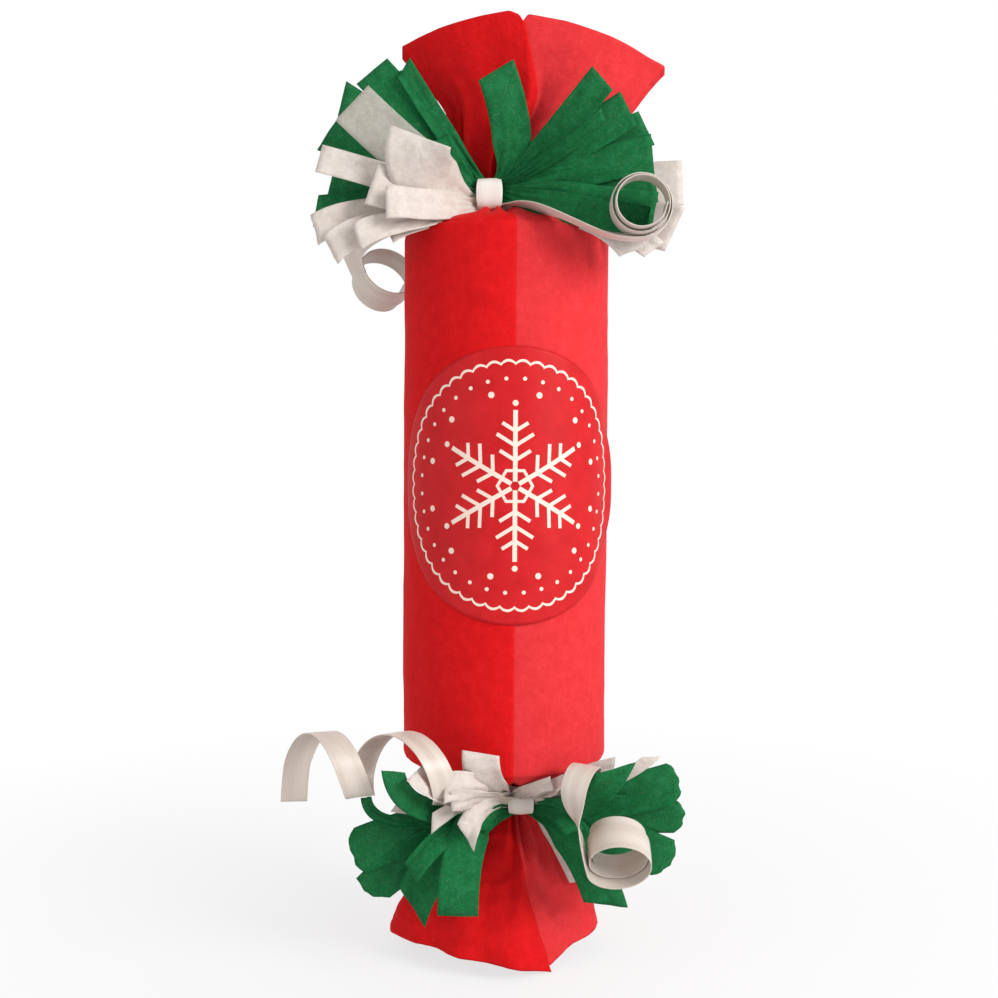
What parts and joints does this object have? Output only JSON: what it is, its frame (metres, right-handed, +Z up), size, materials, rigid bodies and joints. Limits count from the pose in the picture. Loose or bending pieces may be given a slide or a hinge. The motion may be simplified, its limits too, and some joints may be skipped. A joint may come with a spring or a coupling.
{
  "type": "christmas cracker",
  "caption": "Party cracker standing on its flared tissue skirt: wrapped card barrel with a round label, ribbon-tied necks, fringed tassels, curled ribbon tails and ends that pull off.",
  "frame": {"origin": "on the barrel's axis, at the level of the skirt's foot", "axes": "+Z up along the barrel, -Y to the label's side"},
  "size_m": [0.1154, 0.0786, 0.2699],
  "materials": {
    "tube_card": "matt grey-brown card, spiral wound",
    "red_tissue": "matt tissue paper, lightly creased",
    "label_paper": "coated paper with a soft sheen",
    "satin_ribbon": "satin woven ribbon",
    "green_tissue": "matt tissue paper, thin enough to glow",
    "white_tissue": "matt tissue paper, thin enough to glow",
    "snap_card": "matt card",
    "crown_tissue": "matt tissue paper",
    "slip_paper": "matt paper",
    "sweet_wrapper_red": "glossy film",
    "sweet_wrapper_green": "glossy film",
    "sweet_wrapper_gold": "glossy film",
    "turned_wood": "varnished",
    "die_wood": "bare wood with inked pips"
  },
  "bodies": {
    "barrel": {"barrel_tube": "tube_card", "wrapper_sleeve": "red_tissue", "label_sticker": "label_paper"},
    "upper_end": {"upper_frill": "red_tissue", "upper_ribbon_tie": "satin_ribbon", "upper_green_tassel": "green_tissue", "upper_white_tassel": "white_tissue", "upper_left_curl": "satin_ribbon", "upper_right_curl": "satin_ribbon", "upper_snap_strip": "snap_card"},
    "lower_end": {"lower_skirt": "red_tissue", "lower_ribbon_tie": "satin_ribbon", "lower_green_tassel": "green_tissue", "lower_white_tassel": "white_tissue", "lower_left_curl": "satin_ribbon", "lower_right_curl": "satin_ribbon", "lower_snap_strip": "snap_card", "snap_band": "slip_paper"},
    "contents": {"paper_crown": "crown_tissue", "crown_band": "slip_paper", "motto_slip": "slip_paper", "sweet_1": "sweet_wrapper_red", "sweet_2": "sweet_wrapper_green", "sweet_3": "sweet_wrapper_gold", "top_body": "turned_wood", "top_stem": "turned_wood", "wooden_die": "die_wood"}
  },
  "joints": [
    {"name": "upper_pull", "type": "slide", "parent": "barrel", "child": "upper_end", "axis": [0, 0, 1], "range_m": [0, 0.11]},
    {"name": "lower_pull", "type": "slide", "parent": "barrel", "child": "lower_end", "axis": [0, 0, -1], "range_m": [0, 0.11]},
    {"name": "contents_drop", "type": "slide", "parent": "barrel", "child": "contents", "axis": [0, 0, -1], "range_m": [0, 0.088]}
  ],
  "couplings": [
    {"joint": "contents_drop", "follows": "lower_pull", "ratio": 0.8}
  ]
}
